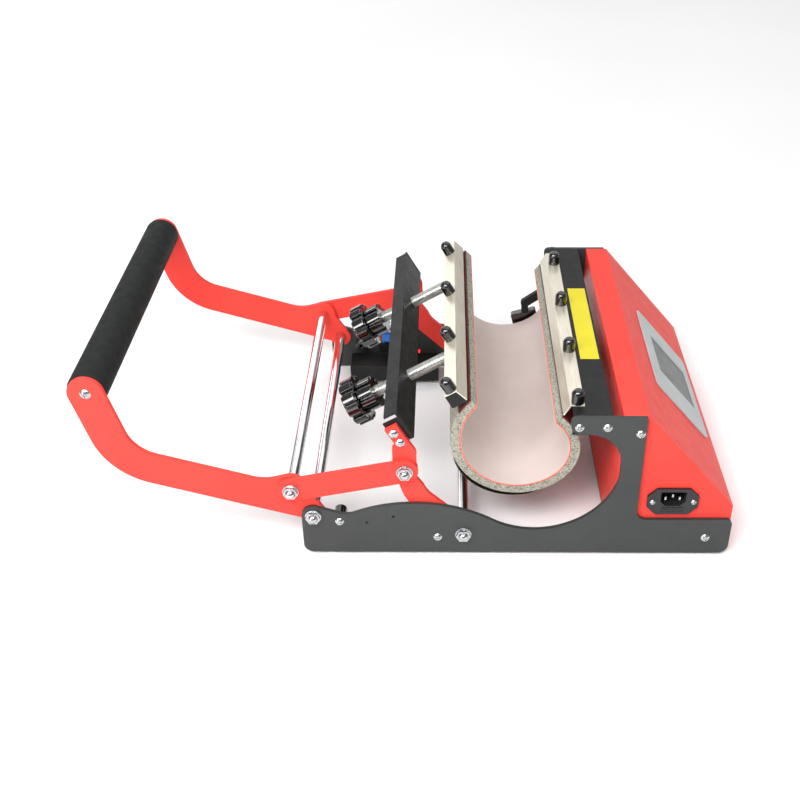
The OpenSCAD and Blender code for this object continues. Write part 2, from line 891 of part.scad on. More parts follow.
module clamp_pivot_bolts() {
  placed() color([0.82, 0.83, 0.84]) for (side = [-1, 1]) {
    layer(side, arm_d, arm_in_d) dot(clamp_top_pin, stud_r);
    layer(side, arm_in_d, arm_in_d + 4) translate(clamp_top_pin) circle(r = 7, $fn = 6);
  }
}

module clamp_beam() {
  end_y = hw - arm_in_d;
  flange_y = end_y - 2.5;
  placed() color([0.13, 0.13, 0.14]) on_rod() difference() {
    union() {
      translate([web_u - sheet_t, -end_y, beam_w0]) cube([sheet_t, 2 * end_y, beam_w1 - beam_w0]);
      for (w = [beam_w0, beam_w1 - sheet_t])
        translate([web_u - beam_flange, -flange_y, w]) cube([beam_flange, 2 * flange_y, sheet_t]);
      for (side = [-1, 1]) translate([web_u - 18, side < 0 ? -end_y : end_y - sheet_t, beam_w0])
        cube([18, sheet_t, beam_w1 - beam_w0 - 5]);
    }
    for (y = [-screw_y, screw_y]) translate([0, y, 0]) along_rod(web_u - 5, web_u + 5, screw_r + run_fit);
    for (w = beam_screw_w) translate([beam_screw_u, -hw, w]) rotate([-90, 0, 0]) cylinder(h = frame_w, r = bolt_r);
  }
}

module beam_screws() {
  placed() color([0.82, 0.83, 0.84]) for (side = [-1, 1], w = beam_screw_w) {
    outward(side, rod_point(beam_screw_u, w), arm_d) pan_screw(9, 4.8, bolt_r);
  }
}

module beam_nuts() {
  placed() color([0.70, 0.70, 0.71]) on_rod() for (y = [-screw_y, screw_y]) translate([0, y, 0])
    difference() {
      translate([web_u - sheet_t - nut_t, 0, 0]) rotate([0, 90, 0]) cylinder(h = nut_t, r = 10.9, $fn = 6);
      along_rod(web_u - sheet_t - nut_t - 1, web_u, screw_r + run_fit);
    }
}

// ---------- left jaw ----------

jaw_face = [jaw_bottom - jaw_top, jaw_w0 - jaw_w1];
jaw_v = jaw_face / norm(jaw_face);
jaw_n = [-jaw_v[1], jaw_v[0]];
jaw_corner = [jaw_u + jaw_top, jaw_w1];

module jaw_profile() {
  polygon([[jaw_u, jaw_w0], [jaw_u, jaw_w1], jaw_corner, [jaw_u + jaw_bottom, jaw_w0]]);
}

module left_strip_profile() {
  polygon([
    [jaw_u, jaw_w1], jaw_corner, jaw_corner + strip_leg * jaw_v,
    jaw_corner + strip_leg * jaw_v + strip_t * jaw_n,
    jaw_corner + [strip_t * (1 - jaw_n[1]) / jaw_n[0], strip_t],
    [jaw_u, jaw_w1 + strip_t]
  ]);
}

module jaw_bar() {
  placed() color([0.12, 0.12, 0.13]) on_rod() difference() {
    slab(-jaw_len / 2, jaw_len / 2) jaw_profile();
    for (y = [-screw_y, screw_y]) translate([0, y, 0])
      along_rod(jaw_u - 1, screw_tip_u + 0.3, screw_r + run_fit);
  }
}

module left_jaw_strip() {
  placed() color([0.80, 0.79, 0.75]) on_rod() slab(-jaw_len / 2, jaw_len / 2) left_strip_profile();
}

module left_jaw_caps() {
  placed() color([0.05, 0.05, 0.05]) on_rod() for (y = cap_y) {
    translate([jaw_u + jaw_top / 2 + 1.2, y, jaw_w1 + strip_t]) rubber_cap();
  }
}

// ---------- pressure screws ----------

module pressure_screw(y) {
  color([0.78, 0.78, 0.79]) on_rod(y) along_rod(star_u - star_t / 2 + screw_gap, screw_tip_u, screw_r);
}

// Round disc of radius r with flat-sided lobes round its edge
module lobed_disc(r, root_r, lobes, lobe_w) {
  circle(r = root_r);
  intersection() {
    circle(r = r);
    for (i = [0:lobes - 1]) rotate(i * 360 / lobes) translate([0, -lobe_w / 2]) square([r + 1, lobe_w]);
  }
}

module star_knob(y) {
  color([0.05, 0.05, 0.05]) on_rod(y) difference() {
    union() {
      translate([star_u - star_t / 2, 0, 0]) rotate([0, 90, 0]) linear_extrude(height = star_t)
        lobed_disc(star_r, star_r - 4.2, 11, 9);
      along_rod(star_u - star_t / 2 - star_hub_l, star_u, star_hub_r);
    }
    along_rod(star_u - star_t / 2 + screw_gap, star_u + star_t, screw_r);
  }
}

module lock_wheel(y) {
  color([0.05, 0.05, 0.05]) on_rod(y) difference() {
    translate([wheel_u - wheel_t / 2, 0, 0]) rotate([0, 90, 0]) linear_extrude(height = wheel_t)
      lobed_disc(wheel_r, wheel_r - 3.6, 8, 8.6);
    along_rod(wheel_u - wheel_t, wheel_u + wheel_t, screw_r);
  }
}

module pressure_screw_near() {
  placed() pressure_screw(-screw_y);
}

module star_knob_near() {
  placed() star_knob(-screw_y);
}

module lock_wheel_near() {
  placed() lock_wheel(-screw_y);
}

module pressure_screw_far() {
  placed() pressure_screw(screw_y);
}

module star_knob_far() {
  placed() star_knob(screw_y);
}

module lock_wheel_far() {
  placed() lock_wheel(screw_y);
}

side_plate_near();
side_plate_far();
plate_screws();
bumpers();
feet();
lever_shaft();
lever_shaft_nuts();
clamp_shaft();
clamp_shaft_nuts();
bridge_plate();
bridge_screws();
right_jaw_strip();
right_jaw_caps();
plain_label();
heat_mat_right();
heat_mat_flex();
control_box_shell();
control_box_base();
display_bezel();
display_lcd();
controller_board();
power_relay();
power_inlet();
inlet_pins();
inlet_screws();
fuse_drawer();
mug_stop_pin();
mug_stop_arm();
mug_stop_pad();
switch_housing();
limit_switch();
switch_lever();
switch_led();
lever_arm_near();
lever_arm_far();
grip_tube();
grip_sleeve();
grip_screws();
link_shaft();
link_shaft_nuts();
link_near();
link_far();
link_pivot_nuts();
clamp_arm_near();
clamp_arm_far();
clamp_beam();
beam_screws();
beam_nuts();
clamp_pivot_bolts();
jaw_bar();
left_jaw_strip();
left_jaw_caps();
heat_mat_left();
pressure_screw_near();
star_knob_near();
lock_wheel_near();
pressure_screw_far();
star_knob_far();
lock_wheel_far();
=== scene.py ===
import json
import math

import bpy
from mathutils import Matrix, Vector


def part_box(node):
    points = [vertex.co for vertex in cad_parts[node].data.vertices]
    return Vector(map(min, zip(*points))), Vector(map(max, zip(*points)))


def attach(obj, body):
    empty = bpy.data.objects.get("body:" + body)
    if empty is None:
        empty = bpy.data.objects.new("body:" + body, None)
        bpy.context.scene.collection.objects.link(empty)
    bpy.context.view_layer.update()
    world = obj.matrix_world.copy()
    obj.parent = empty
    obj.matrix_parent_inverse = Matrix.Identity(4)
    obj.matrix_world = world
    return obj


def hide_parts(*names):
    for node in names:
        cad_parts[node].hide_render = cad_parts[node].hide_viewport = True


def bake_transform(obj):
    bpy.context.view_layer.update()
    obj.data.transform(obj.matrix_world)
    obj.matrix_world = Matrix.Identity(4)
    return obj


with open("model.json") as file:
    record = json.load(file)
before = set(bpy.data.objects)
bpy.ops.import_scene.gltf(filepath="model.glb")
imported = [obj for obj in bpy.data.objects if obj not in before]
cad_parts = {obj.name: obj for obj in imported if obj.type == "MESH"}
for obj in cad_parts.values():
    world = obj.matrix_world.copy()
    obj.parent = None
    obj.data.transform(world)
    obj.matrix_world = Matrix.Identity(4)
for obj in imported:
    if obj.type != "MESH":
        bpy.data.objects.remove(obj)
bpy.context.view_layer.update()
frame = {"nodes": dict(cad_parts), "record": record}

MM = 0.001
NODES = frame["nodes"]

# ---------- places shared with the CAD, in its side view, millimetres and degrees ----------

# the height of the feet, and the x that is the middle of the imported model
FOOT = 3.0
MID_X = -29.0

# the pressure screws rise by TILT, at SCREW_Y on each side of the middle; SCREW_U is where each
# one ends, measured along it from the (x, z) of ROD_ORIGIN
TILT = math.radians(30)
ROD_ORIGIN = (-15.85, 156.0)
SCREW_Y = 74.5
SCREW_R = 6.0
SCREW_U = (-84.0, 33.5)
THREAD_PITCH = 1.75

MAT_Y = (-156.5, 152.5)
MAT_T = 10.3
# each arc of the mat is its (centre, radius of the inner face)
ARC_A = ((84.0, 115.0), 39.5)
ARC_B = ((74.0, 126.9), 55.0)
MAT_RIGHT_DEG = 52.0
MAT_MEET_DEG = -50.0
MAT_FLEX_DEG = -165.0
MAT_LEFT_DEG = -224.0

GRIP_R = 18.5


def place(x, y, z):
    """A side-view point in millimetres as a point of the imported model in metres."""
    return Vector(((x - MID_X) * MM, y * MM, (z + FOOT) * MM))


# ---------- materials, with sizes and depths in metres ----------

# the colour sockets of a Mix node
MIX_FIRST, MIX_SECOND, MIX_RESULT = 6, 7, 2
WHITE = (1.0, 1.0, 1.0, 1.0)
LINES_ALONG_Y = (1, 0.03, 1)


def srgb(red, green, blue):
    """A display colour from 0 to 255 as the linear colour that a shader takes."""
    def linear(value):
        value /= 255
        return value / 12.92 if value <= 0.04045 else ((value + 0.055) / 1.055) ** 2.4
    return (linear(red), linear(green), linear(blue), 1.0)


class Finish:
    """A Principled material whose detail is procedural and at real scale."""

    def __init__(self, name, metallic=0.0, coat=0.0, specular=0.5, coat_ior=1.5):
        self.material = bpy.data.materials.new(name)
        self.material.use_nodes = True
        tree = self.material.node_tree
        self.nodes = tree.nodes
        self.links = tree.links
        self.shader = tree.nodes["Principled BSDF"]
        self.shader.inputs["Metallic"].default_value = metallic
        self.shader.inputs["Coat Weight"].default_value = coat
        self.shader.inputs["Coat Roughness"].default_value = 0.08
        self.shader.inputs["Coat IOR"].default_value = coat_ior
        self.shader.inputs["Specular IOR Level"].default_value = specular
        self.coords = tree.nodes.new("ShaderNodeTexCoord").outputs["Object"]

    def stretched(self, scale):
        """Coordinates multiplied along each axis, for grain and brush lines."""
        node = self.nodes.new("ShaderNodeMapping")
        node.inputs["Scale"].default_value = scale
        self.links.new(self.coords, node.inputs["Vector"])
        return node.outputs["Vector"]

    def noise(self, size, detail, stretch=None):
        """Noise with features about size metres across."""
        node = self.nodes.new("ShaderNodeTexNoise")
        node.inputs["Scale"].default_value = 1 / size
        node.inputs["Detail"].default_value = detail
        coords = self.stretched(stretch) if stretch else self.coords
        self.links.new(coords, node.inputs["Vector"])
        return node.outputs["Fac"]

    def cells(self, size, feature="F1"):
        """Distance to the nearest of scattered points about size metres apart."""
        node = self.nodes.new("ShaderNodeTexVoronoi")
        node.feature = feature
        node.inputs["Scale"].default_value = 1 / size
        self.links.new(self.coords, node.inputs["Vector"])
        return node.outputs["Distance"]

    def ramp(self, factor, *stops):
        """A colour ramp through stops of (position, colour)."""
        node = self.nodes.new("ShaderNodeValToRGB")
        band = node.color_ramp
        while len(band.elements) < len(stops):
            band.elements.new(0.5)
        for element, (position, colour) in zip(band.elements, stops):
            element.position = position
            element.color = colour
        self.links.new(factor, node.inputs["Fac"])
        return node.outputs["Color"]

    def blended(self, factor, first, second):
        """First where factor is 0 and second where it is 1."""
        node = self.nodes.new("ShaderNodeMix")
        node.data_type = "RGBA"
        self.links.new(factor, node.inputs["Factor"])
        for index, value in ((MIX_FIRST, first), (MIX_SECOND, second)):
            if isinstance(value, tuple):
                node.inputs[index].default_value = value
            else:
                self.links.new(value, node.inputs[index])
        return node.outputs[MIX_RESULT]

    def ranged(self, factor, low, high, start=0.3, stop=0.7):
        """Factor mapped from start..stop to low..high."""
        node = self.nodes.new("ShaderNodeMapRange")
        node.inputs["From Min"].default_value = start
        node.inputs["From Max"].default_value = stop
        node.inputs["To Min"].default_value = low
        node.inputs["To Max"].default_value = high
        self.links.new(factor, node.inputs["Value"])
        return node.outputs["Result"]

    def two_tone(self, dark, light, size, detail):
        """One shade that drifts into another in patches about size metres across."""
        return self.blended(self.ranged(self.noise(size, detail), 0, 1), dark, light)

    def colour(self, socket):
        """Sets the base colour."""
        self.links.new(socket, self.shader.inputs["Base Color"])

    def rough(self, factor, low, high):
        """Lets the roughness wander between low and high."""
        self.links.new(self.ranged(factor, low, high), self.shader.inputs["Roughness"])

    def bump(self, height, depth, strength):
        """Relief from a height, depth metres deep, over any relief set before."""
        node = self.nodes.new("ShaderNodeBump")
        node.inputs["Distance"].default_value = depth
        node.inputs["Strength"].default_value = strength
        before = self.shader.inputs["Normal"].links
        if before:
            self.links.new(before[0].from_socket, node.inputs["Normal"])
        self.links.new(height, node.inputs["Height"])
        self.links.new(node.outputs["Normal"], self.shader.inputs["Normal"])


def powder_coat(name, dark, light, low, high, specular=0.45):
    """Baked powder paint: a faint orange peel and a slow drift in shade."""
    look = Finish(name, specular=specular)
    look.colour(look.two_tone(dark, light, size=0.07, detail=3))
    look.rough(look.noise(0.012, 4), low, high)
    look.bump(look.noise(0.0016, 2), depth=0.00010, strength=0.35)
    look.bump(look.noise(0.0004, 2), depth=0.00003, strength=0.35)
    return look.material


def plated(name, dark, light, low, high, spot=0.006):
    """Plated metal with slight clouding and fine handling marks."""
    look = Finish(name, metallic=1.0)
    look.colour(look.two_tone(dark, light, size=spot, detail=3))
    look.rough(look.noise(0.003, 4), low, high)
    look.bump(look.noise(0.0012, 3), depth=0.00004, strength=0.25)
    return look.material


def brushed(name, dark, light, low, high):
    """Sheet metal brushed along its length."""
    look = Finish(name, metallic=0.6)
    lines = look.noise(0.0009, 4, LINES_ALONG_Y)
    clouds = look.noise(0.03, 3)
    base = look.blended(look.ranged(lines, 0, 1), dark, light)
    look.colour(look.blended(look.ranged(clouds, 0, 0.35), base, light))
    look.rough(lines, low, high)
    look.bump(lines, depth=0.00005, strength=0.3)
    return look.material


def moulded(name, dark, light, low, high, grain=0.0005, depth=0.00004, coat=0.0, coat_ior=1.5):
    """Moulded plastic or rubber with a fine spark grain."""
    look = Finish(name, coat=coat, coat_ior=coat_ior)
    look.colour(look.two_tone(dark, light, size=0.02, detail=3))
    look.rough(look.noise(0.005, 3), low, high)
    look.bump(look.noise(grain, 2), depth, strength=0.5)
    return look.material


def rubber_film(name, dark, light, low, high):
    """Coloured silicone film seen on its edge."""
    look = Finish(name, specular=0.35)
    look.colour(look.two_tone(dark, light, size=0.004, detail=3))
    look.rough(look.noise(0.003, 2), low, high)
    look.bump(look.noise(0.0008, 2), depth=0.00005, strength=0.4)
    return look.material


def printed_film(name, dark, light, low, high):
    """Smooth overlay or sticker film with a faint ripple."""
    look = Finish(name, specular=0.5)
    look.colour(look.two_tone(dark, light, size=0.025, detail=2))
    look.rough(look.noise(0.02, 3), low, high)
    look.bump(look.noise(0.015, 2), depth=0.00008, strength=0.3)
    return look.material


def lining(name, dark, light, low, high):
    """Release cloth on the inner face: a fine weave under a pale satin coat."""
    look = Finish(name, specular=0.35)
    look.colour(look.two_tone(dark, light, size=0.06, detail=3))
    look.rough(look.noise(0.01, 3), low, high)
    for stretch in ((0.05, 1.0, 0.05), (1.0, 0.05, 1.0)):
        look.bump(look.noise(0.0011, 1, stretch), depth=0.00006, strength=0.3)
    return look.material


def sponge(name, dark, light, low, high):
    """Silicone sponge: a warm grey with pale specks, and each pore dented and darkened with
    painted shade.
    """
    look = Finish(name, specular=0.25)
    pores_with_painted_shade = look.cells(0.0021)
    specks = look.cells(0.0029)
    tone = look.two_tone(dark, light, size=0.004, detail=5)
    pale = look.blended(look.ranged(specks, 1, 0, 0.12, 0.22), tone, srgb(215, 212, 200))
    # painted shade: each pore is painted near-black where shade falls inside it
    look.colour(look.blended(look.ranged(pores_with_painted_shade, 1, 0, 0.22, 0.32), pale, srgb(44, 44, 39)))
    look.rough(look.noise(0.002, 2), low, high)
    look.bump(pores_with_painted_shade, depth=0.0005, strength=0.7)
    look.bump(look.noise(0.0007, 3), depth=0.0001, strength=0.5)
    return look.material


def grip_foam(name, dark, light, low, high):
    """Closed-cell foam: each small pit dented and painted darker towards its centre as shade,
    over a faintly uneven skin.
    """
    look = Finish(name, specular=0.15)
    pits_with_painted_shade = look.cells(0.0011)
    # painted shade: each pit is darker towards its centre, where shade falls
    look.colour(look.ramp(pits_with_painted_shade, (0.05, dark), (0.45, light)))
    look.rough(look.noise(0.01, 3), low, high)
    look.bump(pits_with_painted_shade, depth=0.0002, strength=0.4)
    look.bump(look.noise(0.012, 2), depth=0.0003, strength=0.15)
    return look.material


def circuit_board(name, dark, light, low, high):
    """Green solder mask, lighter over the copper traces."""
    look = Finish(name, coat=0.2)
    traces = look.cells(0.004, "DISTANCE_TO_EDGE")
    look.colour(look.ramp(traces, (0.04, light), (0.10, dark)))
    look.rough(look.noise(0.004, 2), low, high)
    look.bump(traces, depth=0.00005, strength=0.4)
    return look.material


def glowing(name, dark, light, low, high):
    """A small lit lens, which glows in its darker shade."""
    look = Finish(name, coat=0.5)
    look.colour(look.two_tone(dark, light, size=0.001, detail=1))
    look.rough(look.noise(0.002, 1), low, high)
    look.shader.inputs["Emission Color"].default_value = dark
    look.shader.inputs["Emission Strength"].default_value = 1.2
    return look.material


KNOB_GLOSS = {"grain": 0.008, "depth": 0.00001, "coat": 1.0, "coat_ior": 1.6}
RUBBER_GLOSS = {"grain": 0.003, "depth": 0.00002, "coat": 1.0, "coat_ior": 1.5}
# recipe, slot, darker and lighter shade, lowest and highest roughness, further detail
FINISH_TABLE = (
    (powder_coat, "frame_paint", (48, 51, 50), (53, 56, 55), 0.44, 0.54, {}),
    (powder_coat, "black_paint", (17, 18, 18), (22, 23, 23), 0.42, 0.54, {"specular": 0.3}),
    (powder_coat, "red_paint", (232, 66, 58), (237, 72, 63), 0.38, 0.48, {"specular": 0.12}),
    (plated, "zinc", (168, 171, 174), (204, 206, 208), 0.12, 0.26, {}),
    (plated, "shaft_chrome", (222, 224, 226), (234, 235, 237), 0.04, 0.1, {"spot": 0.02}),
    (plated, "screw_steel", (204, 205, 202), (228, 228, 224), 0.3, 0.4, {}),
    (brushed, "strip_steel", (200, 192, 176), (232, 226, 210), 0.28, 0.4, {}),
    (moulded, "knob_plastic", (6, 6, 6), (10, 10, 10), 0.05, 0.1, KNOB_GLOSS),
    (moulded, "black_plastic", (26, 26, 27), (34, 34, 35), 0.4, 0.52, {}),
    (moulded, "rubber_black", (9, 9, 9), (14, 14, 14), 0.1, 0.2, RUBBER_GLOSS),
    # for foam_black the darker colour is painted shade at the centre of each pit
    (grip_foam, "foam_black", (21, 22, 22), (34, 36, 35), 0.62, 0.8, {}),
    (sponge, "mat_foam", (134, 133, 121), (168, 165, 153), 0.75, 0.95, {}),
    (lining, "mat_lining", (196, 181, 176), (206, 192, 187), 0.42, 0.58, {}),
    (rubber_film, "heater_film", (226, 78, 52), (240, 98, 70), 0.45, 0.65, {}),
    # the backing's dark red is partly a real backing film and partly painted shade of the gap
    # between the mat and the jaw strips
    (rubber_film, "backing_film", (78, 24, 26), (98, 32, 32), 0.45, 0.65, {}),
    (printed_film, "label_film", (206, 192, 6), (212, 198, 10), 0.4, 0.5, {}),
    (printed_film, "bezel_film", (172, 178, 179), (182, 188, 188), 0.36, 0.46, {}),
    (printed_film, "lcd_glass", (66, 69, 68), (74, 77, 76), 0.3, 0.38, {}),
    (circuit_board, "board_green", (14, 66, 34), (24, 92, 48), 0.3, 0.45, {}),
    (moulded, "relay_white", (222, 221, 214), (232, 231, 226), 0.4, 0.5, {}),
    (moulded, "switch_blue", (24, 104, 200), (34, 120, 216), 0.25, 0.35, {}),
    (plated, "carrier_steel", (62, 60, 50), (80, 77, 66), 0.4, 0.55, {}),
    (glowing, "led_red", (240, 30, 36), (255, 120, 110), 0.12, 0.2, {}),
    (brushed, "grip_steel", (150, 150, 152), (176, 176, 178), 0.3, 0.45, {}),
)
FINISHES = {
    slot: recipe(slot, srgb(*dark), srgb(*light), low, high, **detail)
    for recipe, slot, dark, light, low, high, detail in FINISH_TABLE
}


def finish_cad_nodes():
    """Gives each carried-over CAD node the material of its slot in the record."""
    for part in frame["record"]["subparts"]:
        mesh = NODES[part["node"]].data
        mesh.materials.clear()
        mesh.materials.append(FINISHES[part["material_slot"]])


# ---------- edges of the CAD nodes ----------

# width of the rounded edge in millimetres, and the nodes that have it
EDGE_MM = {
    0.5: ("side_plate_near", "side_plate_far", "lever_arm_near", "lever_arm_far", "link_near",
          "link_far", "clamp_arm_near", "clamp_arm_far", "jaw_bar", "display_bezel"),
    1.2: ("control_box_shell", "bridge_plate", "clamp_beam", "switch_housing", "star_knob_near",
          "star_knob_far", "lock_wheel_near", "lock_wheel_far"),
    0.8: ("mug_stop_arm", "mug_stop_pad", "power_inlet", "fuse_drawer", "feet", "bumpers",
          "power_relay"),
    0.3: ("right_jaw_strip", "left_jaw_strip", "display_lcd", "control_box_base",
          "limit_switch", "switch_lever", "lever_shaft", "clamp_shaft", "link_shaft",
          "inlet_pins", "beam_nuts", "lever_shaft_nuts", "clamp_shaft_nuts",
          "link_shaft_nuts", "link_pivot_nuts", "clamp_pivot_bolts"),
    0.15: ("plate_screws", "bridge_screws", "beam_screws", "grip_screws", "inlet_screws",
           "mug_stop_pin", "plain_label", "controller_board"),
}
# edges wider than WIDE_EDGE get a third segment, points within WELD_M metres are merged,
# faces that meet flatter than FLAT_DEG are joined, and edges over EDGE_DEG are rounded
WIDE_EDGE = 0.4
WELD_M = 0.000002
FLAT_DEG = 0.5
EDGE_DEG = 32


def soften_edges():
    """Rounds sharp edges as folded sheet, moulded plastic and turned steel have them."""
    for width, names in EDGE_MM.items():
        for name in names:
            node = NODES[name]
            normals = node.data.attributes.get("custom_normal")
            if normals:
                node.data.attributes.remove(normals)
            node.data.shade_smooth()
            weld = node.modifiers.new("weld", "WELD")
            weld.merge_threshold = WELD_M
            flat = node.modifiers.new("flat", "DECIMATE")
            flat.decimate_type = "DISSOLVE"
            flat.angle_limit = math.radians(FLAT_DEG)
            edge = node.modifiers.new("edge", "BEVEL")
            edge.width = width * MM
            edge.segments = 3 if width > WIDE_EDGE else 2
            edge.limit_method = "ANGLE"
            edge.angle_limit = math.radians(EDGE_DEG)
            edge.harden_normals = True


# ---------- mesh helpers ----------

def add_mesh(name, points, faces, materials, face_materials=None, sharp_deg=35):
    """A smooth-shaded mesh piece from points in metres."""
    mesh = bpy.data.meshes.new(name)
    mesh.from_pydata(points, [], faces)
    for material in materials:
        mesh.materials.append(FINISHES[material])
    if face_materials:
        mesh.polygons.foreach_set("material_index", face_materials)
    mesh.shade_smooth()
    mesh.set_sharp_from_angle(angle=math.radians(sharp_deg))
    mesh.validate()
    piece = bpy.data.objects.new(name, mesh)
    bpy.context.scene.collection.objects.link(piece)
    return piece


def join_mesh(points, faces, more_points, more_faces):
    """Adds one set of points and faces to another."""
    first = len(points)
    points += more_points
    faces += [tuple(first + k for k in face) for face in more_faces]


def lathe(profile, steps, put):
    """Points and faces of a closed (along, radius) profile turned once, where put says."""
    points = []
    for i in range(steps):
        turn = math.tau * i / steps
        for along, radius in profile:
            points.append(put(along, radius * math.cos(turn), radius * math.sin(turn)))
    size = len(profile)
    faces = []
    for i in range(steps):
        a, b = i * size, (i + 1) % steps * size
        for k in range(size):
            n = (k + 1) % size
            faces.append((a + k, a + n, b + n, b + k))
    return points, faces


# ---------- heating mat, millimetres and degrees ----------

PATH_STEP_DEG = 3.0
# rows of points along the mat: RIM in from each cut end, and SPANS between the ends
RIM = 0.4
SPANS = 12
# LINING_T and FILM_T are the depths where the lining and the heater film end
LINING_T = 0.4
FILM_T = 1.3
# the dark red backing is partly a real film and partly painted shade in the gap between the
# sponge and the jaw strips
BACKING_AND_GAP_SHADE_T = 1.5
BACKING_AND_GAP_SHADE_DEG = (25.0, -208.0)
# what lies on the sponge's outer face stands PROUD of it
PROUD = 0.05
SHEET_DEG = (-64.0, -160.0)
SHEET_DEPTHS = (MAT_T + PROUD, MAT_T + 0.75)
SHEET_OVERHANG = -1.5
SHEET_SAG = 4.0
SAG_POWER = 0.7


def mat_path(start_deg, stop_deg):
    """(centre, inner radius, degrees) from the right edge of the mat towards its left edge."""
    count = round((start_deg - stop_deg) / PATH_STEP_DEG)
    path = []
    for i in range(count + 1):
        deg = start_deg + (stop_deg - start_deg) * i / count
        centre, radius = ARC_A if deg > MAT_MEET_DEG else ARC_B
        path.append((centre, radius, deg))
    return path


def mat_layer(path, inner, outer, overhang, sag=None):
    """One closed layer between two depths from the inner face, swept along the path."""
    y_near, y_far = MAT_Y[0] - overhang, MAT_Y[1] + overhang
    lengths = [y_near, y_near + RIM]
    lengths += [y_near + (y_far - y_near) * k / SPANS for k in range(1, SPANS)]
    lengths += [y_far - RIM, y_far]
    points = []
    for centre, radius, deg in path:
        drop = sag(deg) if sag else 0.0
        ray = (math.cos(math.radians(deg)), math.sin(math.radians(deg)))
        for depth in (inner, outer):
            for y in lengths:
                r = radius + depth + drop
                points.append(place(centre[0] + r * ray[0], y, centre[1] + r * ray[1]))
    across = len(lengths)
    ring = 2 * across
    faces = []
    for i in range(len(path) - 1):
        a, b = i * ring, (i + 1) * ring
        for k in range(across - 1):
            faces.append((a + k, b + k, b + k + 1, a + k + 1))
            faces.append((a + across + k, a + across + k + 1,
                          b + across + k + 1, b + across + k))
        faces.append((a, a + across, b + across, b))
        faces.append((a + across - 1, b + across - 1, b + ring - 1, a + ring - 1))
    last = (len(path) - 1) * ring
    for k in range(across - 1):
        faces.append((k, k + 1, across + k + 1, across + k))
        faces.append((last + k, last + across + k, last + across + k + 1, last + k + 1))
    return points, faces


def build_mat(name, start_deg, stop_deg, backing_and_gap_shade_start_deg, backing_and_gap_shade_stop_deg):
    """Lining, heater film and sponge of one stretch, with a dark red backing behind its top
    whose dark is partly painted shade of the gap between sponge and jaw strip.
    """
    path = mat_path(start_deg, stop_deg)
    backing_and_gap_shade_path = mat_path(backing_and_gap_shade_start_deg, backing_and_gap_shade_stop_deg)
    # material, path, inner and outer depth, overhang at the two ends
    layers = (
        ("mat_lining", path, 0.0, LINING_T, 0.1),
        ("heater_film", path, LINING_T, FILM_T, 0.5),
        ("mat_foam", path, FILM_T, MAT_T, 0.0),
        # painted shade: the backing's dark edge, proud of the sponge, stands partly for the
        # shade in the gap under the jaw strip
        ("backing_film", backing_and_gap_shade_path, MAT_T - BACKING_AND_GAP_SHADE_T, MAT_T + PROUD, 0.3),
    )
    points, faces, face_materials = [], [], []
    for index, (_, route, inner, outer, overhang) in enumerate(layers):
        more, quads = mat_layer(route, inner, outer, overhang)
        join_mesh(points, faces, more, quads)
        face_materials += [index] * len(quads)
    return add_mesh(name, points, faces, [layer[0] for layer in layers], face_materials)


def build_carrier_sheet():
    """The thin spring sheet that hangs a little below the mat."""
    start, stop = SHEET_DEG

    def sag(deg):
        return SHEET_SAG * math.sin(math.pi * (start - deg) / (start - stop)) ** SAG_POWER

    points, faces = mat_layer(mat_path(start, stop), *SHEET_DEPTHS, SHEET_OVERHANG, sag)
    return add_mesh("mat_carrier_sheet", points, faces, ["carrier_steel"])


def build_heating_mat():
    """The mat in two stretches that meet where it stops bending, and the sheet under it."""
    lower = build_mat("heating_mat_lower", MAT_RIGHT_DEG, MAT_FLEX_DEG,
                      MAT_RIGHT_DEG, BACKING_AND_GAP_SHADE_DEG[0])
    upper = build_mat("heating_mat_left", MAT_FLEX_DEG, MAT_LEFT_DEG,
                      BACKING_AND_GAP_SHADE_DEG[1], MAT_LEFT_DEG)
    sheet = build_carrier_sheet()
    for piece in (lower, sheet):
        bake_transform(piece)
    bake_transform(upper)
    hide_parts("heat_mat_right", "heat_mat_flex")
    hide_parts("heat_mat_left")


# ---------- pressure screws, millimetres ----------

THREAD_SIDES = 28
THREAD_DEPTH = 0.85
THREAD_MARGIN = 1.2
# (part of a pitch, part of the depth) from one foot of the thread to the other
THREAD_SHAPE = ((0.0, 0), (0.36, 1), (0.56, 1), (0.92, 0))
# the core stays CORE_GAP under the thread's root, chamfered (along, inward) at its ends
CORE_GAP = 0.02
CORE_CHAMFER = (0.9, 0.8)
CORE_AXIS_R = 0.01


def rod_point(y):
    """A function that places (along, across, up) of the pressure screw at that y."""
    along = Vector((math.cos(TILT), 0, math.sin(TILT)))
    upward = Vector((-math.sin(TILT), 0, math.cos(TILT)))
    origin = place(ROD_ORIGIN[0], y, ROD_ORIGIN[1])

    def put(u, v, w):
        return origin + (u * along + Vector((0, v, 0)) + w * upward) * MM
    return put


